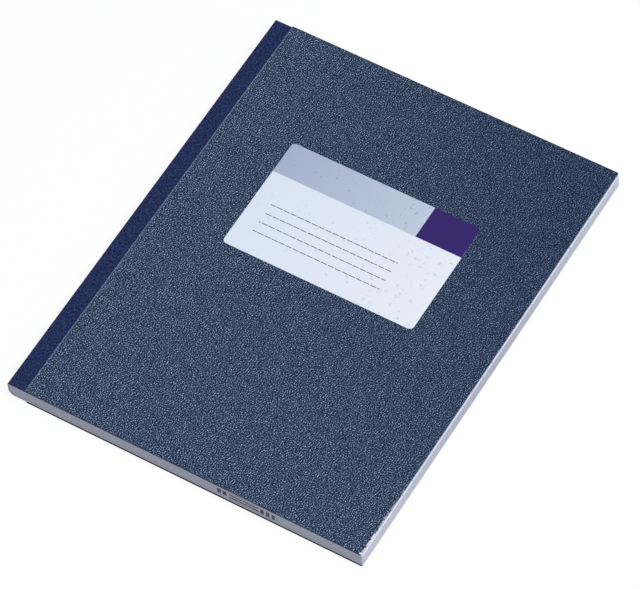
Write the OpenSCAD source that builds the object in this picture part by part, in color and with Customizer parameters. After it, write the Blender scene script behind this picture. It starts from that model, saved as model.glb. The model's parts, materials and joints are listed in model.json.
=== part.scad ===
// Glue-bound notebook with card covers, a cloth spine tape and a paper label.
// It lies closed on its back cover. +X runs from the spine to the fore-edge,
// +Y from tail to head and +Z up. The origin is under the middle of the notebook.

/* [Notebook] */
// Overall width, from the spine to the fore-edge of the leaves
book_w = 165; // [130:1:240]
// Overall height, from tail to head
book_h = 210; // [150:1:320]
// Room between the leaf block and the inside of each cover
cover_gap = 0.05; // [0.02:0.01:0.2]

/* [Covers] */
// Thickness of the dyed card core of each cover
core_t = 1; // [0.3:0.05:1.5]
// Thickness of the grained paper on the outside of each cover
face_t = 0.15; // [0.1:0.05:0.4]
// Distance that the leaves stand out past the covers at the fore-edge
leaf_ledge = 0.5; // [0:0.1:2]

/* [Spine] */
// Thickness of the cloth tape
tape_t = 0.2; // [0.1:0.05:0.4]
// Width of tape that shows between the spine and each cover board
tape_show_w = 8.4; // [5:0.1:15]
// Width of tape that is glued under each cover board
tape_tuck_w = 10; // [4:0.5:20]
// Radius of the spine's lower edge, where the tape turns under the block
spine_r = 3; // [1.5:0.5:4]
// Thickness of the binding glue between the tape and the leaves
glue_t = 0.5; // [0.2:0.1:1]

/* [Leaves] */
// Thickness of one leaf
leaf_t = 0.075; // [0.05:0.005:0.12]
// Air between two leaves
leaf_gap = 0.009; // [0.004:0.001:0.03]
// Leaves that turn together as one bundle
bundle_leaves = 4; // [2:1:6]
// Number of bundles in the block
bundle_count = 20; // [10:1:30]
// Width of the glued margin on the topmost leaves, which is the narrowest
margin_w = 0.8; // [0.5:0.1:2]
// Angle that the topmost bundle turns while the front cover opens fully
fan_angle = 150; // [60:5:155]
// Clearance along each fold line
fold_gap = 0.02; // [0.01:0.01:0.05]

/* [Label] */
// Width of the label along X
label_w = 89.5; // [60:0.1:100]
// Height of the label along Y
label_h = 57; // [35:0.5:80]
// Thickness of the label
label_t = 0.1; // [0.05:0.05:0.3]
// Radius of the label's corners
label_r = 2; // [0.5:0.5:6]
// Distance of the label's middle from the board's middle, towards the spine
label_in = 2.1; // [0:0.1:5]
// Distance of the label's middle from the board's middle, towards the head
label_up = 24.4; // [0:0.1:30]

/* [Hidden] */
$fn = 64;
// Distance that a cut runs past the face that it opens
cut_past = 1;
spine_x = -book_w / 2;
cover_t = core_t + face_t;
cover_end = book_w - leaf_ledge;
flange_end = tape_show_w + tape_tuck_w;

// Levels above the table
leaf_pitch = leaf_t + leaf_gap;
bundle_t = bundle_leaves * leaf_pitch;
half_bundle = (bundle_t - leaf_gap) / 2;
block_z = cover_t + cover_gap;
block_top = block_z + bundle_count * bundle_t - leaf_gap;
front_z = block_top + cover_gap;
back_tape_z = cover_t - tape_t;

// The topmost bundle turns furthest, and each one below it a step less. A bundle's inner edge
// sweeps some room beside its fold line, and each fold line lies further from the spine than
// the one above it, so that the fanned bundles stay clear of each other.
function turn(k) = fan_angle * (bundle_count - k + 1) / bundle_count;
function swing(angle) = angle < 90 ? sin(angle) : tan(angle / 2);
function swing_room(k) = half_bundle * swing(turn(k)) + fold_gap;
function fold_s(k) =
    k == 1
        ? tape_t + glue_t + margin_w + swing_room(1)
        : fold_s(k - 1) + bundle_t * tan(turn(k - 1) / 2);
function leaf_z(k, leaf) = block_z + (bundle_count - k) * bundle_t + (leaf - 1) * leaf_pitch;

// Each hinge line runs along Y, at the X and Z given here
front_hinge = [spine_x, front_z + tape_t];
back_hinge = [spine_x + spine_r, back_tape_z];
leaf_hinges = [for (k = [1 : bundle_count]) [spine_x + fold_s(k), leaf_z(k, 1) + half_bundle]];
echo(front_hinge = front_hinge, back_hinge = back_hinge, leaf_hinges = leaf_hinges);

// Distance from the spine's outside to the inner face of the glue at height z
glue_r = spine_r - tape_t - glue_t;
round_z = back_tape_z + spine_r;
function glue_s(z) =
    z > round_z
        ? tape_t + glue_t
        : spine_r - sqrt(max(0, glue_r * glue_r - (round_z - z) * (round_z - z)));

function bundle_name(k) = str("leaves_", k < 10 ? "0" : "", k);

BUNDLES = [for (k = [1 : bundle_count]) bundle_name(k)];

// A flat sheet over the whole height of the notebook, from s0 to s1 off the spine
module sheet(s0, s1, z, t) {
    translate([spine_x + s0, -book_h / 2, z])
        cube([s1 - s0, book_h, t]);
}

// A profile drawn in distance from the spine and height, run from tail to head
module along_spine() {
    translate([spine_x, book_h / 2, 0])
        rotate([90, 0, 0])
            linear_extrude(book_h)
                children();
}

// The space behind the spine's surface, at a depth below it, up to the height top
module spine_section(depth, top) {
    translate([depth, round_z])
        square([spine_r - depth, top - round_z]);
    intersection() {
        translate([spine_r, round_z])
            circle(spine_r - depth);
        translate([0, back_tape_z])
            square([spine_r, spine_r]);
    }
}

// One layer on the spine, from one depth to another
module spine_layer(depth, t, top) {
    along_spine()
        difference() {
            spine_section(depth, top);
            spine_section_cut(depth + t, top);
        }
}

// What lies deeper than a layer, cut past the layer's ends
module spine_section_cut(depth, top) {
    translate([depth, round_z])
        square([spine_r, top - round_z + cut_past]);
    translate([spine_r, round_z])
        circle(spine_r - depth);
}

module spine_tape() {
    color("midnightblue")
        spine_layer(0, tape_t, front_z - fold_gap);
}

module spine_glue() {
    color("ivory")
        spine_layer(tape_t, glue_t, block_top);
}

// The inner margin of every leaf, held in the glue
module bound_margins() {
    color("whitesmoke")
        for (k = [1 : bundle_count], leaf = [1 : bundle_leaves]) {
            z = leaf_z(k, leaf);
            sheet(glue_s(z), fold_s(k) - swing_room(k), z, leaf_t);
        }
}

// The free part of one bundle's leaves, which turns on its fold line
module leaf_bundle(k) {
    color("white")
        for (leaf = [1 : bundle_leaves])
            sheet(fold_s(k) + fold_gap, book_w, leaf_z(k, leaf), leaf_t);
}

// The card of a cover, with a rebate for the tape on the side that faces the leaves
module cover_board(z, rebate_z) {
    color("darkslategray")
        difference() {
            sheet(tape_show_w, cover_end, z, core_t);
            sheet(tape_show_w - cut_past, flange_end, rebate_z, tape_t + cut_past);
        }
}

module front_tape() {
    color("midnightblue")
        sheet(0, flange_end, front_z, tape_t);
}

module front_board() {
    cover_board(front_z, front_z - cut_past);
}

module front_face() {
    color("darkslateblue")
        sheet(tape_show_w, cover_end, front_z + core_t, face_t);
}

module front_label() {
    middle_s = (tape_show_w + cover_end) / 2 - label_in;
    color("lavender")
        translate([spine_x + middle_s, label_up, front_z + cover_t])
            linear_extrude(label_t) {
                square([label_w - 2 * label_r, label_h], center = true);
                square([label_w, label_h - 2 * label_r], center = true);
                for (x = [-1, 1], y = [-1, 1])
                    translate([x * (label_w / 2 - label_r), y * (label_h / 2 - label_r)])
                        circle(label_r);
            }
}

module back_tape() {
    color("midnightblue")
        sheet(spine_r + fold_gap, flange_end, back_tape_z, tape_t);
}

module back_board() {
    cover_board(face_t, back_tape_z);
}

module back_face() {
    color("darkslateblue")
        sheet(tape_show_w, cover_end, 0, face_t);
}

spine_tape();
spine_glue();
bound_margins();
front_tape();
front_board();
front_face();
front_label();
back_tape();
back_board();
back_face();
for (k = [1 : bundle_count])
    leaf_bundle(k);
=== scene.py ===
# %% [markdown]
# # A glue-bound notebook
#
# The object is a flat notebook that lies closed on its back cover. Two card covers are faced with
# grained blue paper, a strip of navy bookcloth wraps the spine, a printed paper label sits on
# the front, and eighty loose leaves are held along the spine by a layer of glue.
#
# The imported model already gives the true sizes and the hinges. This lesson dresses it: first the
# camera and the light, then one material for each real surface, and then the pieces themselves.

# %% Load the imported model
import json
import math
import random

import bmesh
import bpy
from mathutils import Matrix, Vector


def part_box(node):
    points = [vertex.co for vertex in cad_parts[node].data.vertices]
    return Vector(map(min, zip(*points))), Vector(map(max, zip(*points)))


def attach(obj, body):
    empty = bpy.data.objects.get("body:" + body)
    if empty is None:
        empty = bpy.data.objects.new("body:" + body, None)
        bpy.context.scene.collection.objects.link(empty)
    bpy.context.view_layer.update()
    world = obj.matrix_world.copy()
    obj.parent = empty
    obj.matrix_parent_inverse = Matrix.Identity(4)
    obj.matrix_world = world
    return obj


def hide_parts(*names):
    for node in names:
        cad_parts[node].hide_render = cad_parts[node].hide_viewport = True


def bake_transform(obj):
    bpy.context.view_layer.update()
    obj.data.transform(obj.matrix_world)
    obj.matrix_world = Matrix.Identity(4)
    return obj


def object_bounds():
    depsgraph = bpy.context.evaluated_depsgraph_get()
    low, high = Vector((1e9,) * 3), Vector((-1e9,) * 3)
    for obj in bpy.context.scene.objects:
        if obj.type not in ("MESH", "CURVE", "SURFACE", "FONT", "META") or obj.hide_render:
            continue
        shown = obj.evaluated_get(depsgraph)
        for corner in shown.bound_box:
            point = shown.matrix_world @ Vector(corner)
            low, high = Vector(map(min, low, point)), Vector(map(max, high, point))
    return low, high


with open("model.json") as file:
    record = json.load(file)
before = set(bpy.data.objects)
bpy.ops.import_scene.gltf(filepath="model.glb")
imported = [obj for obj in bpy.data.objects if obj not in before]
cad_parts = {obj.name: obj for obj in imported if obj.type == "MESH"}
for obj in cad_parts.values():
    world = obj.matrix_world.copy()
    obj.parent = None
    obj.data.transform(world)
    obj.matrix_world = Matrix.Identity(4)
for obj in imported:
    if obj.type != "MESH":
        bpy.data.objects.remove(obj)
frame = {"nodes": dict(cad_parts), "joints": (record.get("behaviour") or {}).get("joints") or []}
cad_low, cad_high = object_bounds()
MM = 0.001
hinge_at = {joint["name"]: Vector(joint["pos_m"]) for joint in frame["joints"]}
hinge_turn = {joint["name"]: joint["range_deg"][1] for joint in frame["joints"]}
book_size = (cad_high - cad_low) / MM
print(f"The notebook measures {book_size.x:.1f} x {book_size.y:.1f} x {book_size.z:.2f} mm")

# %% [markdown]
# ## The camera
#
# The photograph was taken from far away with a long lens, so the notebook's edges stay almost
# parallel. A camera can be placed by dragging it, but here its direction is known as three angles,
# so the matrix is put together from them: turn to the azimuth, tip down by the elevation, and roll
# a little about the line of sight.

# %% Place the camera
IMAGE_WIDTH = 640
LOOK_AT = Vector((5.41, -7.02, 8.97)) * MM
CAMERA_DISTANCE = 1928.4 * MM
AZIMUTH = math.radians(33.45)
ELEVATION = math.radians(55.75)
ROLL = math.radians(-3.48)
# The lens and the sensor are in millimetres, as on a real camera
LENS = 267.77
SENSOR_WIDTH = 36.0

facing = (
    Matrix.Rotation(AZIMUTH, 4, "Z")
    @ Matrix.Rotation(math.pi / 2 - ELEVATION, 4, "X")
    @ Matrix.Rotation(ROLL, 4, "Z")
)
camera_data = bpy.data.cameras.new("long_lens")
camera_data.lens = LENS
camera_data.sensor_width = SENSOR_WIDTH
camera_data.sensor_fit = "HORIZONTAL"
camera = bpy.data.objects.new("camera", camera_data)
camera.matrix_world = Matrix.Translation(LOOK_AT) @ facing @ Matrix.Translation((0, 0, CAMERA_DISTANCE))
bpy.context.scene.collection.objects.link(camera)
bpy.context.scene.camera = camera
bpy.context.scene.view_settings.view_transform = "Standard"
pixel_mm = CAMERA_DISTANCE * SENSOR_WIDTH / LENS / IMAGE_WIDTH / MM
print(f"One pixel covers {pixel_mm:.2f} mm at the notebook")

# %% [markdown]
# ## Two small helpers for materials
#
# Colours are written as the sRGB hex values that a paint program shows, but shaders work with
# linear light, so one function converts them. Every shader is a network of nodes, and adding a node
# always means the same three things: pick its kind, set its options, and fill or link its sockets.
# One function does that, so that each material below reads as a short list.

# %% Define the colour and node helpers
def linear(hex_colour):
    """Turn an sRGB colour such as "#40506A" into linear red, green, blue and alpha."""
    shares = [int(hex_colour[i:i + 2], 16) / 255 for i in (1, 3, 5)]
    straight = [s / 12.92 if s <= 0.04045 else ((s + 0.055) / 1.055) ** 2.4 for s in shares]
    return (*straight, 1.0)


def add_node(tree, kind, options=(), inputs=()):
    """Add a shader node, set its options, and link or fill the sockets that are named."""
    node = tree.nodes.new("ShaderNode" + kind)
    for option, value in dict(options).items():
        setattr(node, option, value)
    for key, value in dict(inputs).items():
        if isinstance(value, bpy.types.NodeSocket):
            tree.links.new(value, node.inputs[key])
        else:
            node.inputs[key].default_value = value
    return node


def start_material(name):
    """Make an empty node material and return it with its tree."""
    material = bpy.data.materials.new(name)
    material.use_nodes = True
    material.node_tree.nodes.clear()
    return material, material.node_tree


# A Mix node for colours keeps its factor, its two colours and its result at these places
FACTOR, FIRST, SECOND, RESULT = 0, 6, 7, 2
print(f"Mid grey #808080 is {linear('#808080')[0]:.3f} in linear light")

# %% [markdown]
# ## Floor and light
#
# The photograph shows the notebook on pure white, lit from above and from the fore-edge side. A
# white floor could simply be lit until it clips, but that would wash out the object too. Instead
# the floor shows near-white to the camera and in reflections, through the Light Path node, and bounces
# a plain grey amount of light. A share of real shading stays in it, so the notebook keeps its soft
# shadow.

# %% Lay the floor
FLOOR_SIZE = 8.0
FLOOR_DROP = 0.02 * MM
SHOWN_WHITE = 0.9

floor_paint, tree = start_material("matt_white_backdrop_paper")
path = add_node(tree, "LightPath")
seen = add_node(tree, "Math", {"operation": "MAXIMUM"},
                {0: path.outputs["Is Camera Ray"], 1: path.outputs["Is Glossy Ray"]})
seen = add_node(tree, "Math", {"operation": "MAXIMUM"},
                {0: seen.outputs[0], 1: path.outputs["Is Transmission Ray"]})
white_share = add_node(tree, "Math", {"operation": "MULTIPLY"}, {0: seen.outputs[0], 1: SHOWN_WHITE})
paint = add_node(tree, "Mix", {"data_type": "RGBA"}, {
    FACTOR: seen.outputs[0], FIRST: linear("#B9BDC7"), SECOND: linear("#FFFFFF")})
bounce = add_node(tree, "BsdfDiffuse", inputs={"Color": paint.outputs[RESULT]})
glow = add_node(tree, "Emission", inputs={"Color": linear("#FFFFFF"), "Strength": 1.0})
mixed = add_node(tree, "MixShader",
                 inputs={0: white_share.outputs[0], 1: bounce.outputs[0], 2: glow.outputs[0]})
add_node(tree, "OutputMaterial", inputs={"Surface": mixed.outputs[0]})

bm = bmesh.new()
bmesh.ops.create_grid(bm, x_segments=1, y_segments=1, size=FLOOR_SIZE / 2,
                      matrix=Matrix.Translation((0, 0, cad_low.z - FLOOR_DROP)))
floor_mesh = bpy.data.meshes.new("floor")
bm.to_mesh(floor_mesh)
bm.free()
floor_mesh.materials.append(floor_paint)
floor = bpy.data.objects.new("floor", floor_mesh)
bpy.context.scene.collection.objects.link(floor)
print(f"The floor lies {FLOOR_DROP / MM:.2f} mm under the back cover")

# %% [markdown]
# The light comes from one large softbox, as in a product studio, and from a plain pale sky that fills the
# shadows. More lamps could do this too, but one lamp and a sky are easy to balance. The sky looks white to
# the camera and lights the notebook much less, which the Light Path node allows again.

# %% Set the lamp and the sky
# Azimuth 0 is towards +X, and 90 degrees towards +Y. Distance and size are in metres
LAMP_AZIMUTH = math.radians(-6)
LAMP_ELEVATION = math.radians(65)
LAMP_DISTANCE = 1.5
LAMP_SIZE = 0.7
LAMP_WATTS = 18.6
SKY_LEVEL = 0.33

towards_lamp = Vector((math.cos(LAMP_AZIMUTH), math.sin(LAMP_AZIMUTH), math.tan(LAMP_ELEVATION)))
towards_lamp.normalize()
lamp = bpy.data.lights.new("key_softbox", "AREA")
lamp.energy = LAMP_WATTS
lamp.size = LAMP_SIZE
softbox = bpy.data.objects.new("key_softbox", lamp)
softbox.location = towards_lamp * LAMP_DISTANCE
softbox.rotation_mode = "QUATERNION"
softbox.rotation_quaternion = towards_lamp.to_track_quat("Z", "Y")
bpy.context.scene.collection.objects.link(softbox)

world = bpy.data.worlds.new("studio")
bpy.context.scene.world = world
world.use_nodes = True
tree = world.node_tree
tree.nodes.clear()
path = add_node(tree, "LightPath")
seen = add_node(tree, "Math", {"operation": "MAXIMUM"},
                {0: path.outputs["Is Camera Ray"], 1: path.outputs["Is Transmission Ray"]})
level = add_node(tree, "MapRange", inputs={"Value": seen.outputs[0], "To Min": SKY_LEVEL, "To Max": 1.0})
sky = add_node(tree, "Background", inputs={"Color": linear("#F4F7FF"), "Strength": level.outputs[0]})
add_node(tree, "OutputWorld", inputs={"Surface": sky.outputs[0]})
print(f"One softbox, and a sky at {SKY_LEVEL:.2f}")

# %% [markdown]
# ## Grained cover paper
#
# Cover paper of this kind is coated, printed blue and pressed between rollers, which leaves short
# ridges less than a millimetre apart and a finer grit. Real displacement would need millions of faces, so
# a bump does the relief. Gabor noise is made of small waves with one spacing, so it gives such ridges:
# one set lies in all directions, and a weaker one runs nearly along the spine. A fine noise for the grit
# is added, and the sum is the height of the surface.

# %% Press the grain
RIDGE_PITCH = 0.9 * MM
RIDGE_LENGTH = 1.05 * MM
STREAK_LENGTH = 1.3 * MM
STREAK_LEAN = math.radians(-9)
STREAK_ORDER = 0.85
STREAK_SHARE = 0.57
GRIT_WIDTH = 0.36 * MM
GRIT_SHARE = 0.53

cover_paper, tree = start_material("embossed_coated_cover_paper")
place = add_node(tree, "TexCoord")
split = add_node(tree, "SeparateXYZ", inputs={0: place.outputs["Object"]})
grain = add_node(tree, "TexGabor", {"gabor_type": "2D"}, {
    "Vector": place.outputs["Object"], "Scale": 1 / RIDGE_LENGTH,
    "Frequency": RIDGE_LENGTH / RIDGE_PITCH, "Anisotropy": 0.0})
streaks = add_node(tree, "TexGabor", {"gabor_type": "2D"}, {
    "Vector": place.outputs["Object"], "Scale": 1 / STREAK_LENGTH, "Orientation 2D": STREAK_LEAN,
    "Frequency": STREAK_LENGTH / RIDGE_PITCH, "Anisotropy": STREAK_ORDER})
ridges = add_node(tree, "Math", {"operation": "MULTIPLY_ADD"}, {
    0: streaks.outputs["Value"], 1: STREAK_SHARE, 2: grain.outputs["Value"]})
grit = add_node(tree, "TexNoise", inputs={
    "Vector": place.outputs["Object"], "Scale": 1 / GRIT_WIDTH, "Detail": 0.0})
height = add_node(tree, "Math", {"operation": "MULTIPLY_ADD"}, {
    0: grit.outputs["Fac"], 1: GRIT_SHARE, 2: ridges.outputs[0]})
usual_height = (1 + STREAK_SHARE + GRIT_SHARE) / 2
print(f"Ridges {RIDGE_PITCH / MM:.1f} mm apart, which is {RIDGE_PITCH / MM / pixel_mm:.1f} pixels")

# %% [markdown]
# The valleys of the grain keep the deep blue, and the ridges are pale grey: partly print rubbed off them,
# and partly a painted highlight where the relief meets the light. They are palest near the spine and the
# tail, which is painted sheen, and darker towards the fore-edge and the head. A second noise could colour
# the paper, but then light and colour would not agree, so the colour follows the same height as the bump.
# Along the head the ridges keep the deep blue in a thin line, which is painted shade on the rim.

# %% Print the paper and paint the ridges' paleness, sheen and shade
# The ridges keep the deep blue this far below the usual height, and are fully pale this far above it
VALLEY_BELOW = 0.277
RIDGE_ABOVE = 0.362
PALENESS_STEEPNESS = 3.0
# How fast the painted sheen fades across to the fore-edge, at the tail and at the head
SHEEN_FADE_AT_TAIL = 0.2
SHEEN_FADE_AT_HEAD = 1.2
FADED_SHEEN_SHARE = 0.55
HEAD_SHADE_BAND = 0.5 * MM
PALENESS_IN_HEAD_SHADE = 0.1
face_low, face_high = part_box("front_face")

ridge = add_node(tree, "MapRange", inputs={
    "Value": height.outputs[0],
    "From Min": usual_height - VALLEY_BELOW, "From Max": usual_height + RIDGE_ABOVE})
ridge = add_node(tree, "Math", {"operation": "POWER"}, {0: ridge.outputs[0], 1: PALENESS_STEEPNESS})
# Painted sheen: the ridges are painted paler near the spine and the tail than towards the fore-edge and
# head
to_fore_edge = add_node(tree, "MapRange", inputs={
    "Value": split.outputs["X"], "From Min": face_low.x, "From Max": face_high.x})
to_head = add_node(tree, "MapRange", inputs={
    "Value": split.outputs["Y"], "From Min": face_low.y, "From Max": face_high.y,
    "To Min": SHEEN_FADE_AT_TAIL, "To Max": SHEEN_FADE_AT_HEAD})
sheen_fade = add_node(tree, "Math", {"operation": "MULTIPLY"}, {
    0: to_fore_edge.outputs[0], 1: to_head.outputs[0]})
painted_sheen = add_node(tree, "MapRange", inputs={
    "Value": sheen_fade.outputs[0], "To Min": 1.0, "To Max": FADED_SHEEN_SHARE})
ridge_paleness = add_node(tree, "Math", {"operation": "MULTIPLY"}, {0: ridge.outputs[0], 1: painted_sheen.outputs[0]})
# Painted shade: along the head the ridges keep the deep blue in a thin line, as on a rim turned from the
# light
painted_head_shade = add_node(tree, "MapRange", inputs={
    "Value": split.outputs["Y"], "From Min": face_high.y - HEAD_SHADE_BAND, "From Max": face_high.y,
    "To Min": 1.0, "To Max": PALENESS_IN_HEAD_SHADE})
ridge_paleness = add_node(tree, "Math", {"operation": "MULTIPLY"}, {0: ridge_paleness.outputs[0], 1: painted_head_shade.outputs[0]})
blue_with_painted_light = add_node(tree, "Mix", {"data_type": "RGBA"}, {
    FACTOR: ridge_paleness.outputs[0], FIRST: linear("#01193A"), SECOND: linear("#ABC3DD")})
face_size = (face_high - face_low) / MM
print(f"The print covers {face_size.x:.1f} x {face_size.y:.1f} mm")

# %% [markdown]
# The edges come last, and each mark is placed by the distance to an edge: a pale line beside the tape,
# and the wear of white chips on the fore-edge near the tail and of one bare corner. It could be painted by
# hand, but a ramp on the position needs no picture and stays sharp from close by.

# %% Mark and wear the paper's edges and finish it
PALE_LINE_FROM_EDGE = 0.3 * MM
PALE_LINE_WIDTH = 0.4 * MM
PALE_LINE_SHARE = 0.42
CHIP_WIDTH = 1.6 * MM
CHIP_REACH = 0.7 * MM
# The noise level at which the coating begins to flake, and at which it is gone
FLAKE_BEGINS = 0.46
FLAKE_GONE = 0.56
# Distances from the tail up to which all the chips show, and from which none does
CHIPPED_FULLY = 10.0 * MM
CHIPPED_PARTLY = 38.0 * MM
BARE_CORNER = 1.3 * MM
RIDGE_DEPTH = 0.15 * MM


def tail_share(tree, along_y):
    """Give the share of chips and scuffs at a place along Y: all of them at the tail, none further up."""
    return add_node(tree, "MapRange", inputs={
        "Value": along_y, "From Min": face_low.y + CHIPPED_FULLY, "From Max": face_low.y + CHIPPED_PARTLY,
        "To Min": 1.0, "To Max": 0.0})


from_line = add_node(tree, "Math", {"operation": "SUBTRACT"}, {
    0: split.outputs["X"], 1: face_low.x + PALE_LINE_FROM_EDGE})
from_line = add_node(tree, "Math", {"operation": "ABSOLUTE"}, {0: from_line.outputs[0]})
on_line = add_node(tree, "MapRange", inputs={
    "Value": from_line.outputs[0], "From Max": PALE_LINE_WIDTH, "To Min": PALE_LINE_SHARE, "To Max": 0.0})
beside_tape = add_node(tree, "Mix", {"data_type": "RGBA"}, {
    FACTOR: on_line.outputs[0], FIRST: blue_with_painted_light.outputs[RESULT], SECOND: linear("#8E9CC4")})

flakes = add_node(tree, "TexNoise", inputs={"Vector": place.outputs["Object"], "Scale": 1 / CHIP_WIDTH})
flaked = add_node(tree, "MapRange", inputs={
    "Value": flakes.outputs["Fac"], "From Min": FLAKE_BEGINS, "From Max": FLAKE_GONE})
at_fore_edge = add_node(tree, "MapRange", inputs={
    "Value": split.outputs["X"], "From Min": face_high.x - CHIP_REACH, "From Max": face_high.x})
chips = add_node(tree, "Math", {"operation": "MULTIPLY"}, {
    0: flaked.outputs[0], 1: at_fore_edge.outputs[0]})
near_tail = tail_share(tree, split.outputs["Y"])
chipped = add_node(tree, "Math", {"operation": "MULTIPLY"}, {
    0: chips.outputs[0], 1: near_tail.outputs[0]})
from_corner = add_node(tree, "VectorMath", {"operation": "DISTANCE"}, {
    0: place.outputs["Object"], 1: (face_high.x, face_low.y, face_high.z)})
at_corner = add_node(tree, "MapRange", inputs={
    "Value": from_corner.outputs["Value"], "From Min": BARE_CORNER / 2, "From Max": BARE_CORNER,
    "To Min": 1.0, "To Max": 0.0})
bare = add_node(tree, "Math", {"operation": "MAXIMUM"}, {0: chipped.outputs[0], 1: at_corner.outputs[0]})
worn = add_node(tree, "Mix", {"data_type": "RGBA"}, {
    FACTOR: bare.outputs[0], FIRST: beside_tape.outputs[RESULT], SECOND: linear("#EFEEF3")})

relief = add_node(tree, "Bump", inputs={
    "Height": height.outputs[0], "Distance": RIDGE_DEPTH, "Strength": 0.8})
skin = add_node(tree, "BsdfPrincipled", inputs={
    "Base Color": worn.outputs[RESULT], "Normal": relief.outputs[0],
    "Roughness": 0.55, "Specular IOR Level": 0.05})
add_node(tree, "OutputMaterial", inputs={"Surface": skin.outputs[0]})
print(f"The fore-edge is chipped up to {CHIPPED_PARTLY / MM:.0f} mm from the tail")

# %% [markdown]
# ## Dyed card
#
# Under each cover paper lies a card of pressed pulp, dyed through to a blue black. It is matt, and the
# guillotine tears short fibres out of its edges, which leaves them uneven. On the front cover these cut
# edges are rubbed to a blue grey, and the fore-edge is paler still, most of all near the tail, because
# thumbs open the notebook there. The back cover lies on the table, and its cut edges get nearly black
# tones, which is painted shade from the table beneath. Both cards could be painted by hand, but one
# function makes them, and it finds the edges by their place.

# %% Mix the dyed cards
FIBRE_WIDTH = 0.8 * MM
FIBRE_DEPTH = 0.02 * MM
# Noise levels at which the pulp has its dark and its light tone
DARK_PULP = 0.3
LIGHT_PULP = 0.7
CUT_DEPTH = 0.4 * MM
LEAST_FORE_EDGE_SHARE = 0.5


def dyed_card(name, cut_colours, fore_edge_colours):
    """A pressed card with its own tones on the cut edges, and on the fore-edge from head to tail."""
    material, tree = start_material(name)
    place = add_node(tree, "TexCoord")
    fibre = add_node(tree, "TexNoise", inputs={
        "Vector": place.outputs["Object"], "Scale": 1 / FIBRE_WIDTH, "Detail": 3.0, "Distortion": 1.5})
    uneven = add_node(tree, "MapRange", inputs={
        "Value": fibre.outputs["Fac"], "From Min": DARK_PULP, "From Max": LIGHT_PULP})
    flat_pulp = add_node(tree, "Mix", {"data_type": "RGBA"}, {
        FACTOR: uneven.outputs[0], FIRST: linear("#1B2029"), SECOND: linear("#2B313D")})
    cut_pulp = add_node(tree, "Mix", {"data_type": "RGBA"}, {
        FACTOR: uneven.outputs[0], FIRST: linear(cut_colours[0]), SECOND: linear(cut_colours[1])})
    split = add_node(tree, "SeparateXYZ", inputs={0: place.outputs["Object"]})
    off_middle = add_node(tree, "Math", {"operation": "ABSOLUTE"}, {0: split.outputs["Y"]})
    at_ends = add_node(tree, "MapRange", inputs={
        "Value": off_middle.outputs[0], "From Min": face_high.y - CUT_DEPTH, "From Max": face_high.y})
    at_fore_edge = add_node(tree, "MapRange", inputs={
        "Value": split.outputs["X"], "From Min": face_high.x - CUT_DEPTH, "From Max": face_high.x})
    at_cut = add_node(tree, "Math", {"operation": "MAXIMUM"}, {
        0: at_ends.outputs[0], 1: at_fore_edge.outputs[0]})
    pulp = add_node(tree, "Mix", {"data_type": "RGBA"}, {
        FACTOR: at_cut.outputs[0], FIRST: flat_pulp.outputs[RESULT], SECOND: cut_pulp.outputs[RESULT]})
    patchy = add_node(tree, "MapRange", inputs={
        "Value": uneven.outputs[0], "To Min": LEAST_FORE_EDGE_SHARE, "To Max": 1.0})
    fore_edge_share = add_node(tree, "Math", {"operation": "MULTIPLY"}, {
        0: at_fore_edge.outputs[0], 1: patchy.outputs[0]})
    near_tail = tail_share(tree, split.outputs["Y"])
    fore_edge_tone = add_node(tree, "Mix", {"data_type": "RGBA"}, {
        FACTOR: near_tail.outputs[0],
        FIRST: linear(fore_edge_colours[0]), SECOND: linear(fore_edge_colours[1])})
    pulp = add_node(tree, "Mix", {"data_type": "RGBA"}, {
        FACTOR: fore_edge_share.outputs[0], FIRST: pulp.outputs[RESULT], SECOND: fore_edge_tone.outputs[RESULT]})
    relief = add_node(tree, "Bump", inputs={"Height": fibre.outputs["Fac"], "Distance": FIBRE_DEPTH})
    skin = add_node(tree, "BsdfPrincipled", inputs={
        "Base Color": pulp.outputs[RESULT], "Normal": relief.outputs[0], "Roughness": 0.9,
        "Specular IOR Level": 0.05})
    add_node(tree, "OutputMaterial", inputs={"Surface": skin.outputs[0]})
    return material


cards = {
    "front": dyed_card("pressed_dyed_card_rubbed_at_the_edges",
                       ("#3F4859", "#6E788C"), ("#C8CDD8", "#FAFAFC")),
    # The back card's near-black edge tones are painted shade from the table it lies on
    "back": dyed_card("pressed_dyed_card", ("#141619", "#24272C"), ("#3A3D44", "#3A3D44")),
}
print(f"Card fibres about {FIBRE_WIDTH / MM:.1f} mm")

# %% [markdown]
# ## Bookcloth
#
# The spine tape is cotton cloth filled with starch and dyed navy. Threads of warp and weft cross, and
# each one swells and thins along its length. A noise that is squeezed across the thread and stretched
# along it looks like that, so two of them make the weave. A real thread is about half as wide as here: it
# is drawn coarser, so that the weave still shows from this far. The strip bends round the spine, so the
# pattern follows the strip's own UV map, in metres along the strip and along the spine, instead of the
# space around it.

# %% Mix the bookcloth
THREAD_WIDTH = 0.36 * MM
THREAD_DEPTH = 0.05 * MM
SLUB_LENGTH = 1.2 * MM
MOTTLE_WIDTH = 6.0 * MM
# The product of the two noises between the threads and on top of one
BETWEEN_THREADS = 0.17
ON_THREAD = 0.34

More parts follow.
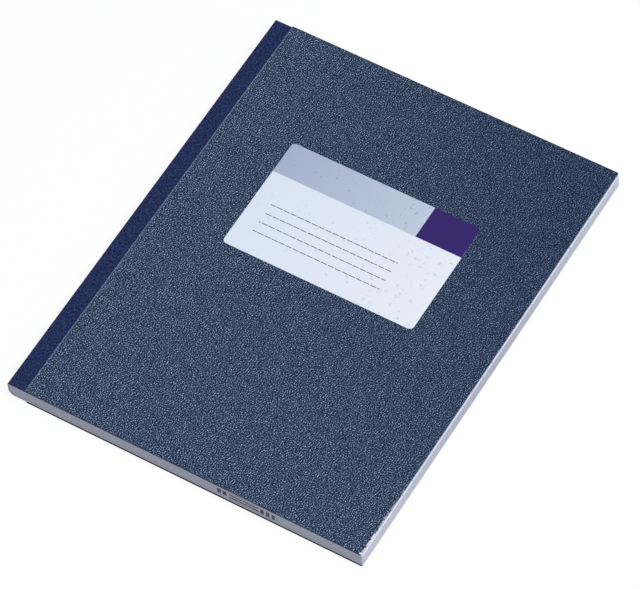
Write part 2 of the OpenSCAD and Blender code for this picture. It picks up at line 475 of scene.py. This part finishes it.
bookcloth, tree = start_material("starched_navy_bookcloth")
strip = add_node(tree, "UVMap", {"uv_map": "strip"})
threads = []
for squeeze in ((1 / THREAD_WIDTH, 1 / SLUB_LENGTH, 1), (1 / SLUB_LENGTH, 1 / THREAD_WIDTH, 1)):
    stretched = add_node(tree, "VectorMath", {"operation": "MULTIPLY"}, {0: strip.outputs[0], 1: squeeze})
    threads.append(add_node(tree, "TexNoise", inputs={"Vector": stretched.outputs[0], "Scale": 1.0}))
crossed = add_node(tree, "Math", {"operation": "MULTIPLY"}, {
    0: threads[0].outputs["Fac"], 1: threads[1].outputs["Fac"]})
weave = add_node(tree, "MapRange", inputs={
    "Value": crossed.outputs[0], "From Min": BETWEEN_THREADS, "From Max": ON_THREAD})
mottle = add_node(tree, "TexNoise", inputs={
    "Vector": strip.outputs[0], "Scale": 1 / MOTTLE_WIDTH, "Detail": 3.0})
raised = add_node(tree, "Mix", {"data_type": "RGBA"}, {
    FACTOR: mottle.outputs["Fac"], FIRST: linear("#253569"), SECOND: linear("#344679")})
thread = add_node(tree, "Mix", {"data_type": "RGBA"}, {
    FACTOR: weave.outputs[0], FIRST: linear("#080F2A"), SECOND: raised.outputs[RESULT]})
relief = add_node(tree, "Bump", inputs={"Height": weave.outputs[0], "Distance": THREAD_DEPTH})
skin = add_node(tree, "BsdfPrincipled", inputs={
    "Base Color": thread.outputs[RESULT], "Normal": relief.outputs[0], "Roughness": 0.7,
    "Specular IOR Level": 0.15, "Sheen Weight": 0.05, "Sheen Roughness": 0.4})
add_node(tree, "OutputMaterial", inputs={"Surface": skin.outputs[0]})
print(f"Threads drawn {THREAD_WIDTH / MM:.2f} mm wide")

# %% [markdown]
# ## Label paper and its inks
#
# The label is matt white paper with soft blue-green and grey flecks in the pulp, more of them towards the
# fore-edge. A pale grey-blue band is printed on it so thinly that the flecks show through. Flecks could be
# scattered as small faces, but the peaks of a noise give softer ones, and a lower threshold gives more of
# them. One function mixes both the paper and the band's ink.

# %% Mix the label paper and the thin ink
FLECK_WIDTH = 1.45 * MM
DYE_PATCH_WIDTH = 4 * FLECK_WIDTH
# Noise levels above which a fleck begins, at the two sides of the label, and how softly it does
FLECK_AT_SPINE = 0.71
FLECK_AT_FORE_EDGE = 0.63
FLECK_SOFTNESS = 0.08
# Noise levels between which the flecks turn from the first dye to the second
FIRST_DYE_TO = 0.5
SECOND_DYE_FROM = 0.62
label_low, label_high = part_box("front_label")


def flecked(name, ground_colours, fleck_colours, fleck_share):
    """A flecked paper or thin ink whose ground grows lighter along X, which is painted light."""
    material, tree = start_material(name)
    place = add_node(tree, "TexCoord")
    split = add_node(tree, "SeparateXYZ", inputs={0: place.outputs["Object"]})
    across = add_node(tree, "MapRange", inputs={
        "Value": split.outputs["X"], "From Min": label_low.x, "From Max": label_high.x})
    # Painted light: the ground is lighter towards the fore-edge, the side that the lamp stands on
    ground = add_node(tree, "Mix", {"data_type": "RGBA"}, {
        FACTOR: across.outputs[0], FIRST: linear(ground_colours[0]), SECOND: linear(ground_colours[1])})
    pulp = add_node(tree, "TexNoise", inputs={
        "Vector": place.outputs["Object"], "Scale": 1 / FLECK_WIDTH, "Detail": 1.0})
    threshold = add_node(tree, "MapRange", inputs={
        "Value": across.outputs[0], "To Min": FLECK_AT_SPINE, "To Max": FLECK_AT_FORE_EDGE})
    above = add_node(tree, "Math", {"operation": "SUBTRACT"}, {
        0: pulp.outputs["Fac"], 1: threshold.outputs[0]})
    fleck = add_node(tree, "MapRange", inputs={
        "Value": above.outputs[0], "From Max": FLECK_SOFTNESS, "To Max": fleck_share})
    dye = add_node(tree, "TexNoise", inputs={
        "Vector": place.outputs["Object"], "Scale": 1 / DYE_PATCH_WIDTH})
    kind = add_node(tree, "MapRange", inputs={
        "Value": dye.outputs["Fac"], "From Min": FIRST_DYE_TO, "From Max": SECOND_DYE_FROM})
    fleck_colour = add_node(tree, "Mix", {"data_type": "RGBA"}, {
        FACTOR: kind.outputs[0], FIRST: linear(fleck_colours[0]), SECOND: linear(fleck_colours[1])})
    final = add_node(tree, "Mix", {"data_type": "RGBA"}, {
        FACTOR: fleck.outputs[0], FIRST: ground.outputs[RESULT], SECOND: fleck_colour.outputs[RESULT]})
    skin = add_node(tree, "BsdfPrincipled", inputs={
        "Base Color": final.outputs[RESULT], "Roughness": 0.65, "Specular IOR Level": 0.3})
    add_node(tree, "OutputMaterial", inputs={"Surface": skin.outputs[0]})
    return material


label_paper = flecked("uncoated_flecked_label_paper", ("#DBE4F1", "#E3E8F1"), ("#63B9C8", "#A3B0C8"),
                      fleck_share=0.38)
band_ink = flecked("thin_offset_grey_blue_ink", ("#A6B1C8", "#C2CDDE"), ("#748FA0", "#79849A"),
                   fleck_share=0.5)
print(f"Label flecks about {FLECK_WIDTH / MM:.1f} mm wide")

# %% [markdown]
# A purple field and thin dashed lines to write on are printed in full ink. Offset print is never quite
# even, so the purple wanders between two close tones. Each printed area is cut into the label's mesh and
# has its own material, so the print keeps crisp edges at any distance. The dashes could be cut as well,
# but there are many of them, so the ink of the lines counts along X and shows bare paper in the gaps.

# %% Mix the full inks
INK_PATCH_WIDTH = 1.5 * MM
DASH_PITCH = 3.33 * MM
DASH_GAP = 0.46 * MM
DASH_START = 0.85 * MM
# Each line begins its dashes this much further on, for every metre that it lies lower
DASH_SLIP = 0.204


def printed(name, colour, patchy_colour):
    """A full ink film, slightly patchy as offset print is."""
    material, tree = start_material(name)
    place = add_node(tree, "TexCoord")
    film = add_node(tree, "TexNoise", inputs={
        "Vector": place.outputs["Object"], "Scale": 1 / INK_PATCH_WIDTH, "Detail": 3.0})
    ink = add_node(tree, "Mix", {"data_type": "RGBA"}, {
        FACTOR: film.outputs["Fac"], FIRST: linear(colour), SECOND: linear(patchy_colour)})
    skin = add_node(tree, "BsdfPrincipled", inputs={
        "Base Color": ink.outputs[RESULT], "Roughness": 0.5, "Specular IOR Level": 0.15})
    add_node(tree, "OutputMaterial", inputs={"Surface": skin.outputs[0]})
    return material


purple_ink = printed("full_offset_purple_ink", "#322168", "#362666")

line_ink, tree = start_material("dashed_offset_dark_grey_ink")
place = add_node(tree, "TexCoord")
split = add_node(tree, "SeparateXYZ", inputs={0: place.outputs["Object"]})
first_dash = label_low.x + label_high.y * DASH_SLIP + DASH_START
slipped = add_node(tree, "Math", {"operation": "MULTIPLY_ADD"}, {
    0: split.outputs["Y"], 1: DASH_SLIP, 2: split.outputs["X"]})
counted = add_node(tree, "Math", {"operation": "SUBTRACT"}, {0: slipped.outputs[0], 1: first_dash})
from_gap = add_node(tree, "Math", {"operation": "PINGPONG"}, {0: counted.outputs[0], 1: DASH_PITCH / 2})
dash = add_node(tree, "Math", {"operation": "GREATER_THAN"}, {0: from_gap.outputs[0], 1: DASH_GAP / 2})
ink = add_node(tree, "Mix", {"data_type": "RGBA"}, {
    FACTOR: dash.outputs[0], FIRST: linear("#DDE5F2"), SECOND: linear("#262930")})
skin = add_node(tree, "BsdfPrincipled", inputs={
    "Base Color": ink.outputs[RESULT], "Roughness": 0.6, "Specular IOR Level": 0.2})
add_node(tree, "OutputMaterial", inputs={"Surface": skin.outputs[0]})
print(f"Dashes every {DASH_PITCH / MM:.2f} mm with gaps of {DASH_GAP / MM:.2f} mm")

# %% [markdown]
# ## Leaf paper
#
# The leaves are white wood-free paper, ruled with pale blue lines, and each page is greyer in a thin rim
# along the fore-edge. The lines could be cut into the mesh, but in the material they cost no faces on
# eighty leaves. The ruling and the rim follow the page's own UV map, in metres from spine and tail, so
# they bend with it.

# %% Mix the page paper
RULE_PITCH = 8.0 * MM
RULE_WIDTH = 0.3 * MM
HEAD_MARGIN = 20.0 * MM
TAIL_MARGIN = 12.0 * MM
PULP_CLOUD_WIDTH = 6.0 * MM
RIM_WIDTH = 0.5 * MM
RIM_SHADE = 0.8
page_width = cad_high.x - cad_low.x
page_height = cad_high.y - cad_low.y

page_paper, tree = start_material("ruled_wood_free_page_paper")
page = add_node(tree, "UVMap", {"uv_map": "page"})
split = add_node(tree, "SeparateXYZ", inputs={0: page.outputs[0]})
beside_line = add_node(tree, "Math", {"operation": "PINGPONG"}, {0: split.outputs["Y"], 1: RULE_PITCH / 2})
on_line = add_node(tree, "Math", {"operation": "LESS_THAN"}, {0: beside_line.outputs[0], 1: RULE_WIDTH / 2})
above_tail = add_node(tree, "Math", {"operation": "GREATER_THAN"}, {0: split.outputs["Y"], 1: TAIL_MARGIN})
below_head = add_node(tree, "Math", {"operation": "LESS_THAN"}, {
    0: split.outputs["Y"], 1: page_height - HEAD_MARGIN})
inside = add_node(tree, "Math", {"operation": "MULTIPLY"}, {
    0: above_tail.outputs[0], 1: below_head.outputs[0]})
ruled = add_node(tree, "Math", {"operation": "MULTIPLY"}, {0: on_line.outputs[0], 1: inside.outputs[0]})
pulp = add_node(tree, "TexNoise", inputs={
    "Vector": page.outputs[0], "Scale": 1 / PULP_CLOUD_WIDTH, "Detail": 4.0})
sheet_white = add_node(tree, "Mix", {"data_type": "RGBA"}, {
    FACTOR: pulp.outputs["Fac"], FIRST: linear("#DFE4EF"), SECOND: linear("#E8ECF4")})
page_colour = add_node(tree, "Mix", {"data_type": "RGBA"}, {
    FACTOR: ruled.outputs[0], FIRST: sheet_white.outputs[RESULT], SECOND: linear("#9DB4D6")})
at_rim = add_node(tree, "MapRange", inputs={
    "Value": split.outputs["X"], "From Min": page_width - RIM_WIDTH, "From Max": page_width,
    "To Min": 1.0, "To Max": RIM_SHADE})
rimmed_page = add_node(tree, "VectorMath", {"operation": "SCALE"}, {
    0: page_colour.outputs[RESULT], "Scale": at_rim.outputs[0]})
skin = add_node(tree, "BsdfPrincipled", inputs={
    "Base Color": rimmed_page.outputs[0], "Roughness": 0.9, "Specular IOR Level": 0.2})
add_node(tree, "OutputMaterial", inputs={"Surface": skin.outputs[0]})
print(f"Pages ruled every {RULE_PITCH / MM:.0f} mm")

# %% [markdown]
# The guillotined edges of the leaves make the sides of the block: thousands of cut fibres with thin shadows
# between the leaves, so an edge looks greyer than a page. Stripes in the material could fake the layers,
# but they would not part when the leaves do, so each leaf carries a random tone in an attribute. The
# middle of the fore-edge is greyer than its ends.

# %% Mix the leaf edges
FORE_EDGE_DEPTH = 0.5 * MM
# Changes of shade along the fore-edge, in its middle and at its ends
MIDDLE_SHADE = -0.1
END_SHADE = 0.18

edge_paper, tree = start_material("guillotined_leaf_edges")
page = add_node(tree, "UVMap", {"uv_map": "page"})
split = add_node(tree, "SeparateXYZ", inputs={0: page.outputs[0]})
at_fore_edge = add_node(tree, "Math", {"operation": "GREATER_THAN"}, {
    0: split.outputs["X"], 1: page_width - FORE_EDGE_DEPTH})
off_middle = add_node(tree, "Math", {"operation": "SUBTRACT"}, {
    0: split.outputs["Y"], 1: page_height / 2})
off_middle = add_node(tree, "Math", {"operation": "ABSOLUTE"}, {0: off_middle.outputs[0]})
middle_to_ends = add_node(tree, "MapRange", inputs={
    "Value": off_middle.outputs[0], "From Max": page_height / 2,
    "To Min": MIDDLE_SHADE, "To Max": END_SHADE})
shade = add_node(tree, "Math", {"operation": "MULTIPLY_ADD"}, {
    0: middle_to_ends.outputs[0], 1: at_fore_edge.outputs[0], 2: 1.0})
tone = add_node(tree, "Attribute", {"attribute_name": "leaf_tone"})
cut = add_node(tree, "Mix", {"data_type": "RGBA"}, {
    FACTOR: tone.outputs["Fac"], FIRST: linear("#C2C4D0"), SECOND: linear("#D2D3DE")})
shaded = add_node(tree, "VectorMath", {"operation": "SCALE"}, {
    0: cut.outputs[RESULT], "Scale": shade.outputs[0]})
skin = add_node(tree, "BsdfPrincipled", inputs={
    "Base Color": shaded.outputs[0], "Roughness": 0.95, "Specular IOR Level": 0.1})
add_node(tree, "OutputMaterial", inputs={"Surface": skin.outputs[0]})

edge_ink = printed("printed_ink_on_leaf_edges", "#12141A", "#1E2128")
print(f"The fore-edge is {-MIDDLE_SHADE:.0%} darker in its middle and {END_SHADE:.0%} lighter at its ends")

# %% [markdown]
# ## Binding glue
#
# Cold glue dries to a grey, slightly waxy film along the ends of the leaves, and its grey is made darker
# still as painted shade, which outlines the spine's rounded lower edge. Only its two cut ends show, so its
# shape stays as the imported model has it, and it gets a finish.

# %% Mix the glue
LUMP_WIDTH = 1.2 * MM
LUMP_DEPTH = 0.05 * MM

binding_glue, tree = start_material("dried_cold_binding_glue_darkened_as_painted_shade")
place = add_node(tree, "TexCoord")
lumps = add_node(tree, "TexNoise", inputs={"Vector": place.outputs["Object"], "Scale": 1 / LUMP_WIDTH})
# The glue's grey is partly its own and partly painted shade along the spine's lower edge
film = add_node(tree, "Mix", {"data_type": "RGBA"}, {
    FACTOR: lumps.outputs["Fac"], FIRST: linear("#85868F"), SECOND: linear("#9A9BA4")})
relief = add_node(tree, "Bump", inputs={"Height": lumps.outputs["Fac"], "Distance": LUMP_DEPTH})
skin = add_node(tree, "BsdfPrincipled", inputs={
    "Base Color": film.outputs[RESULT], "Normal": relief.outputs[0], "Roughness": 0.4})
add_node(tree, "OutputMaterial", inputs={"Surface": skin.outputs[0]})
glue_node = frame["nodes"]["spine_glue"]
glue_node.data.materials.clear()
glue_node.data.materials.append(binding_glue)
print("The glue keeps its packed shape")

# %% [markdown]
# ## Helpers for pieces
#
# Most pieces of a notebook are flat sheets with small changes: a rounded corner, a cut, a fold. Each
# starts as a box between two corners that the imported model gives, so it lies in the right place from
# the beginning, and its object can stay at the origin.

# %% Define the mesh helpers
# Places that are nearer than this count as one
SAME_PLACE = 0.0001 * MM


def box_between(bm, low, high):
    """Add a box from its lowest to its highest corner."""
    stretch = Matrix.Diagonal(high - low).to_4x4()
    bmesh.ops.create_cube(bm, size=1, matrix=Matrix.Translation((low + high) / 2) @ stretch)


def upright_edges(bm, x=None):
    """The edges that run along Z, all of them or only those at one X."""
    found = []
    for edge in bm.edges:
        first, last = (vert.co for vert in edge.verts)
        along_z = abs(first.x - last.x) < SAME_PLACE and abs(first.y - last.y) < SAME_PLACE
        if along_z and (x is None or abs(first.x - x) < SAME_PLACE):
            found.append(edge)
    return found


def round_edges(bm, edges, radius, segments):
    """Round edges with a bevel of a true circular profile."""
    bmesh.ops.bevel(bm, geom=edges, offset=radius, offset_type="OFFSET", affect="EDGES",
                    segments=segments, profile=0.5, material=-1)


def cut_through(bm, point, normal):
    """Cut every face along a plane and keep both sides."""
    bmesh.ops.bisect_plane(bm, geom=bm.verts[:] + bm.edges[:] + bm.faces[:], dist=SAME_PLACE,
                           plane_co=point, plane_no=normal)


def make_piece(name, bm, *materials):
    """Turn a finished bmesh into an object of the scene."""
    bmesh.ops.recalc_face_normals(bm, faces=bm.faces)
    mesh = bpy.data.meshes.new(name)
    bm.to_mesh(mesh)
    bm.free()
    for material in materials:
        mesh.materials.append(material)
    piece = bpy.data.objects.new(name, mesh)
    bpy.context.scene.collection.objects.link(piece)
    print(f"{name}: {len(mesh.polygons)} faces")
    return piece


print(f"Places within {SAME_PLACE / MM:.4f} mm count as one")

# %% [markdown]
# ## Cover cards
#
# Each cover card is thinner along the spine, where the tape is tucked under it. A box could be cut
# away there, but extruding is cleaner: the main part is a box, its spine side is split at the tape's
# level, and the half on the outside is extruded over the tape. The two corners at the fore-edge are
# cut by a punch, so they are very slightly rounded.

# %% Shape the cover cards
COVER_CORNER_R = 0.7 * MM
COVER_CORNER_STEPS = 5
# A face looks along an axis when its normal has more than this along it
SQUARE_ON = 0.9


def shape_card(side, tape_level, outside):
    """Make one cover card. Outside is +1 where its outer face looks up and -1 where it looks down."""
    low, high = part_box(f"{side}_board")
    tuck_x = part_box(f"{side}_tape")[1].x
    bm = bmesh.new()
    box_between(bm, Vector((tuck_x, low.y, low.z)), high)
    round_edges(bm, upright_edges(bm, high.x), COVER_CORNER_R, COVER_CORNER_STEPS)
    cut_through(bm, (0, 0, tape_level), (0, 0, 1))
    over_tape = [
        face for face in bm.faces
        if face.normal.x < -SQUARE_ON and (face.calc_center_median().z - tape_level) * outside > 0
    ]
    pushed = bmesh.ops.extrude_face_region(bm, geom=over_tape)["geom"]
    tongue = [item for item in pushed if isinstance(item, bmesh.types.BMVert)]
    bmesh.ops.translate(bm, verts=tongue, vec=(low.x - tuck_x, 0, 0))
    card = make_piece(f"{side}_cover_card", bm, cards[side])
    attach(card, f"{side}_cover")
    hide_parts(f"{side}_board")


shape_card("front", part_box("front_tape")[1].z, 1)
shape_card("back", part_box("back_tape")[0].z, -1)

# %% [markdown]
# ## Cover papers
#
# The grained paper is a plate as large as the card. A plain box would meet the light with razor edges,
# but the guillotine presses the outer rim a little round, so the edges of the outer face get a small
# bevel after the two corners are rounded like the card's.

# %% Shape the cover papers
RIM_ROUND = 0.07 * MM
RIM_STEPS = 2


def shape_cover_paper(side, outside):
    """Make one cover paper with a soft outer rim. Outside is +1 for the front and -1 for the back."""
    low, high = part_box(f"{side}_face")
    bm = bmesh.new()
    box_between(bm, low, high)
    round_edges(bm, upright_edges(bm, high.x), COVER_CORNER_R, COVER_CORNER_STEPS)
    outer = max(bm.faces, key=lambda face: face.normal.z * outside)
    round_edges(bm, list(outer.edges), RIM_ROUND, RIM_STEPS)
    paper = make_piece(f"{side}_cover_paper", bm, cover_paper)
    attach(paper, f"{side}_cover")
    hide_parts(f"{side}_face")


shape_cover_paper("front", 1)
shape_cover_paper("back", -1)

# %% [markdown]
# ## The label
#
# The label is die-cut, so its corners are true arcs. The printed areas could be painted by a texture,
# but cutting the sheet along the print's edges with bisect_plane keeps every line sharp. Each top face
# then takes the ink of the area that its middle lies in.

# %% Shape the label
LABEL_CORNER_R = 2.0 * MM
LABEL_CORNER_STEPS = 8
BAND_HEIGHT = 16.43 * MM
FIELD_START = 67.8 * MM
LINES_FROM = 8.15 * MM
LINES_TO = 68.2 * MM
FIRST_LINE = 31.42 * MM
LINE_PITCH = 4.89 * MM
LINE_COUNT = 4
LINE_WIDTH = 0.34 * MM
PAPER, BAND, FIELD, LINE = range(4)

line_middles = [label_high.y - FIRST_LINE - LINE_PITCH * i for i in range(LINE_COUNT)]
band_low_y = label_high.y - BAND_HEIGHT
field_x = label_low.x + FIELD_START
lines_x = (label_low.x + LINES_FROM, label_low.x + LINES_TO)


def printed_area(middle):
    """Say which print lies at a point of the label's top."""
    if middle.y > band_low_y:
        return BAND if middle.x < field_x else FIELD
    on_a_line = any(abs(middle.y - y) < LINE_WIDTH / 2 for y in line_middles)
    return LINE if on_a_line and lines_x[0] < middle.x < lines_x[1] else PAPER


bm = bmesh.new()
box_between(bm, label_low, label_high)
round_edges(bm, upright_edges(bm), LABEL_CORNER_R, LABEL_CORNER_STEPS)
line_edges = [y + side * LINE_WIDTH / 2 for y in line_middles for side in (-1, 1)]
for y in (band_low_y, *line_edges):
    cut_through(bm, (0, y, 0), (0, 1, 0))
for x in (field_x, *lines_x):
    cut_through(bm, (x, 0, 0), (1, 0, 0))
for face in bm.faces:
    if face.normal.z > SQUARE_ON:
        face.material_index = printed_area(face.calc_center_median())
label = make_piece("printed_label", bm, label_paper, band_ink, purple_ink, line_ink)
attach(label, "front_cover")
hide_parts("front_label")

# %% [markdown]
# ## The spine tape
#
# One strip of cloth runs from under the front card, round the spine and under the back card. It bends
# on two hinges, and a blended piece can follow only two bodies, so the strip is made in two halves that
# meet in the middle of the spine. Each half is grown from its cross-section: extrude the end face
# straight, then in small turns round the corner, then straight again. A length counted along the way
# becomes the UV map, and short steps at the fold give the flange room to bend.

# %% Plan the way of the tape
TOP_EDGE_R = 0.2 * MM
TOP_EDGE_STEPS = 5
LOWER_EDGE_STEPS = 14
FRONT_FOLD = 1.5 * MM
BACK_FOLD = 0.8 * MM
FOLD_STEPS = 8

back_fold = hinge_at["back_cover_hinge"]
front_tape_low, front_tape_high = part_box("front_tape")
back_tape_low, back_tape_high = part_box("back_tape")
tape_t = front_tape_high.z - front_tape_low.z
spine_x = cad_low.x
spine_r = back_fold.x - spine_x
mid_spine_z = (front_tape_high.z + back_tape_low.z) / 2


def tape_moves(upwards, edge_r, edge_steps, fold_length):
    """List the moves, each with its length, that take the end face from mid spine to the flange's end.

    Upwards is +1 for the half that goes over the top edge and -1 for the one that goes under the block.
    """
    outer_z = front_tape_high.z if upwards > 0 else back_tape_low.z
    end_x = front_tape_high.x if upwards > 0 else back_tape_high.x
    arc_middle = Vector((spine_x + edge_r, 0, outer_z - upwards * edge_r))
    step_turn = Matrix.Rotation(upwards * math.pi / 2 / edge_steps, 4, "Y")
    round_the_edge = Matrix.Translation(arc_middle) @ step_turn @ Matrix.Translation(-arc_middle)
    climb = abs(arc_middle.z - mid_spine_z)
    flat = end_x - arc_middle.x
    moves = [(Matrix.Translation((0, 0, upwards * climb)), climb)]
    moves += [(round_the_edge, edge_r * math.pi / 2 / edge_steps)] * edge_steps
    moves += [(Matrix.Translation((fold_length / FOLD_STEPS, 0, 0)), fold_length / FOLD_STEPS)] * FOLD_STEPS
    moves += [(Matrix.Translation((flat - fold_length, 0, 0)), flat - fold_length)]
    return moves


front_moves = tape_moves(upwards=1, edge_r=TOP_EDGE_R, edge_steps=TOP_EDGE_STEPS, fold_length=FRONT_FOLD)
back_moves = tape_moves(upwards=-1, edge_r=spine_r, edge_steps=LOWER_EDGE_STEPS, fold_length=BACK_FOLD)
tape_length = sum(length for _, length in front_moves + back_moves)
print(f"The tape is {tape_t / MM:.2f} mm thick and {tape_length / MM:.1f} mm long across the spine")

# %% Grow the spine tape
def grow_tape(name, upwards, moves):
    """Extrude half of the tape from mid spine along its moves, with a UV map in metres."""
    bm = bmesh.new()
    along = bm.verts.layers.float.new("along")
    section = Matrix.Diagonal((tape_t, cad_high.y - cad_low.y, 1, 1))
    middle = Matrix.Translation((spine_x + tape_t / 2, 0, mid_spine_z))
    bmesh.ops.create_grid(bm, x_segments=1, y_segments=1, size=0.5, matrix=middle @ section)
    end = next(iter(bm.faces))
    travelled = 0.0
    for move, length in moves:
        pushed = bmesh.ops.extrude_face_region(bm, geom=[end])["geom"]
        end = next(item for item in pushed if isinstance(item, bmesh.types.BMFace))
        bmesh.ops.transform(bm, matrix=move, verts=end.verts)
        travelled += length
        for vert in end.verts:
            vert[along] = upwards * travelled
    strip_map = bm.loops.layers.uv.new("strip")
    for face in bm.faces:
        for loop in face.loops:
            loop[strip_map].uv = (loop.vert[along], loop.vert.co.y)
    return make_piece(name, bm, bookcloth)


front_cloth = grow_tape("front_spine_cloth", upwards=1, moves=front_moves)
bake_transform(front_cloth)
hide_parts("spine_tape", "front_tape")

back_cloth = grow_tape("back_spine_cloth", upwards=-1, moves=back_moves)
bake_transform(back_cloth)
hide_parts("spine_tape", "back_tape")

# %% [markdown]
# ## The leaves
#
# Eighty leaves lie in twenty bundles of four, and each bundle turns on its own fold line. A sharp fold
# would look creased, so the leaves bend over a stretch that begins at their fold line. It is long where
# they turn little, and short where they turn far, which keeps them clear of their neighbours. At the spine
# they end on the glue, which follows the spine's rounded lower edge.

# %% Work out where the leaves begin and bend
LONG_BEND = 10.0 * MM
SHORT_BEND = 1.25 * MM
WIDE_TURN = 95.0

bundles = sorted(name for name in frame["nodes"] if name.startswith("leaves_"))
turns = [hinge_turn[name + "_fold"] for name in bundles]
margins_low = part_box("bound_margins")[0]
round_z = back_fold.z + spine_r
glue_r = back_fold.x - margins_low.x


def glue_face_x(z):
    """X of the glue's inner face at a height, which follows the spine's rounded lower edge."""
    drop = round_z - z
    return margins_low.x if drop < 0 else back_fold.x - math.sqrt(max(0.0, glue_r ** 2 - drop ** 2))


def bend_length(turn):
    """The stretch over which a leaf bends, given how many degrees it turns."""
    past = max(0.0, turn - WIDE_TURN) / (max(turns) - WIDE_TURN)
    return LONG_BEND + (SHORT_BEND - LONG_BEND) * past


bends = [bend_length(turn) / MM for turn in turns]
print(f"{len(bundles)} bundles bend over {min(bends):.2f} to {max(bends):.2f} mm")

# %% [markdown]
# A small printed mark of plain bars sits on the tail edges. A texture could carry it, but the leaves move
# apart when the notebook opens, and each must take its own slice of the mark along. So the leaves are cut
# where a bar begins and ends, and the short tail faces in between take the ink.

# %% Lay out the printed mark
# Each bar runs over a stretch from the spine and a stretch of height, in millimetres
MARK_BARS = [
    (98.4, 100.2, 3.6, 6.6), (100.9, 102.7, 3.6, 6.6),
    (104.0, 117.4, 5.3, 6.2), (104.0, 117.4, 3.4, 4.2),
    (118.3, 119.8, 3.0, 6.2), (120.9, 122.4, 3.0, 6.2), (123.5, 125.0, 3.0, 6.2),
]


def on_mark(point):
    """Say whether a point of the tail edges lies on a bar of the printed mark."""
    across = (point.x - cad_low.x) / MM
    up = (point.z - cad_low.z) / MM
    return any(start < across < stop and bottom < up < top for start, stop, bottom, top in MARK_BARS)


print(f"The mark has {len(MARK_BARS)} bars")

# %% [markdown]
# A leaf is a thin box from the glue to the fore-edge, cut across in the stretch where it bends. One plate
# could stand for a whole bundle, but its edges would look like a solid bar. So every leaf is there, and no
# two are cut quite alike: each has a seeded random shift of a few thousandths of a millimetre and a random
# tone.

# %% Shape the leaves
LEAVES_IN_BUNDLE = 4
LEAF_GAP = 0.009 * MM
LEAF_CORNER_R = 1.0 * MM
LEAF_CORNER_STEPS = 4
BEND_STEPS = 12
CUT_SHIFT = 0.004 * MM
SHIFT_SEED = 80
# Added before a level is rounded down, so that a leaf's own underside never counts as the leaf below
LEVEL_SLACK = 0.05
PAGE, EDGE, MARK = range(3)
chance = random.Random(SHIFT_SEED)


def stack_leaves(low, high, pitch):
    """Lay the leaves of one bundle on each other, each cut a little differently, with rounded corners."""
    bm = bmesh.new()
    for leaf in range(LEAVES_IN_BUNDLE):
        z = low.z + leaf * pitch
        along, across = (chance.uniform(-CUT_SHIFT, CUT_SHIFT) for _ in range(2))
        box_between(bm, Vector((glue_face_x(z), low.y + along, z)),
                    Vector((high.x + across, high.y + along, z + pitch - LEAF_GAP)))
    outer_corners = [edge for edge in upright_edges(bm) if edge.verts[0].co.x > 0]
    round_edges(bm, outer_corners, LEAF_CORNER_R, LEAF_CORNER_STEPS)
    return bm


def finish_leaf_faces(bm):
    """Give every face its paper or ink, and map it in metres from spine and tail."""
    page_map = bm.loops.layers.uv.new("page")
    for face in bm.faces:
        face.material_index = PAGE if abs(face.normal.z) > SQUARE_ON else EDGE
        if face.normal.y < -SQUARE_ON and on_mark(face.calc_center_median()):
            face.material_index = MARK
        for loop in face.loops:
            loop[page_map].uv = (loop.vert.co.x - cad_low.x, loop.vert.co.y - cad_low.y)


def shape_bundle(name):
    """Make one bundle of leaves, which stays in the spine up to its fold line and bends beyond it."""
    low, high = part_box(name)
    fold = hinge_at[name + "_fold"]
    bend = bend_length(hinge_turn[name + "_fold"])
    pitch = (high.z - low.z + LEAF_GAP) / LEAVES_IN_BUNDLE
    bm = stack_leaves(low, high, pitch)
    for step in range(BEND_STEPS + 1):
        cut_through(bm, (fold.x + bend * step / BEND_STEPS, 0, 0), (1, 0, 0))
    for start, stop, _, _ in MARK_BARS:
        cut_through(bm, (cad_low.x + start * MM, 0, 0), (1, 0, 0))
        cut_through(bm, (cad_low.x + stop * MM, 0, 0), (1, 0, 0))
    tone = bm.verts.layers.float.new("leaf_tone")
    tones = [chance.random() for _ in range(LEAVES_IN_BUNDLE)]
    for vert in bm.verts:
        vert[tone] = tones[int((vert.co.z - low.z) / pitch + LEVEL_SLACK)]
    finish_leaf_faces(bm)
    bundle = make_piece(name.replace("leaves", "leaf_bundle"), bm, page_paper, edge_paper, edge_ink)
    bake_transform(bundle)
    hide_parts(name, "bound_margins")


for name in bundles:
    shape_bundle(name)
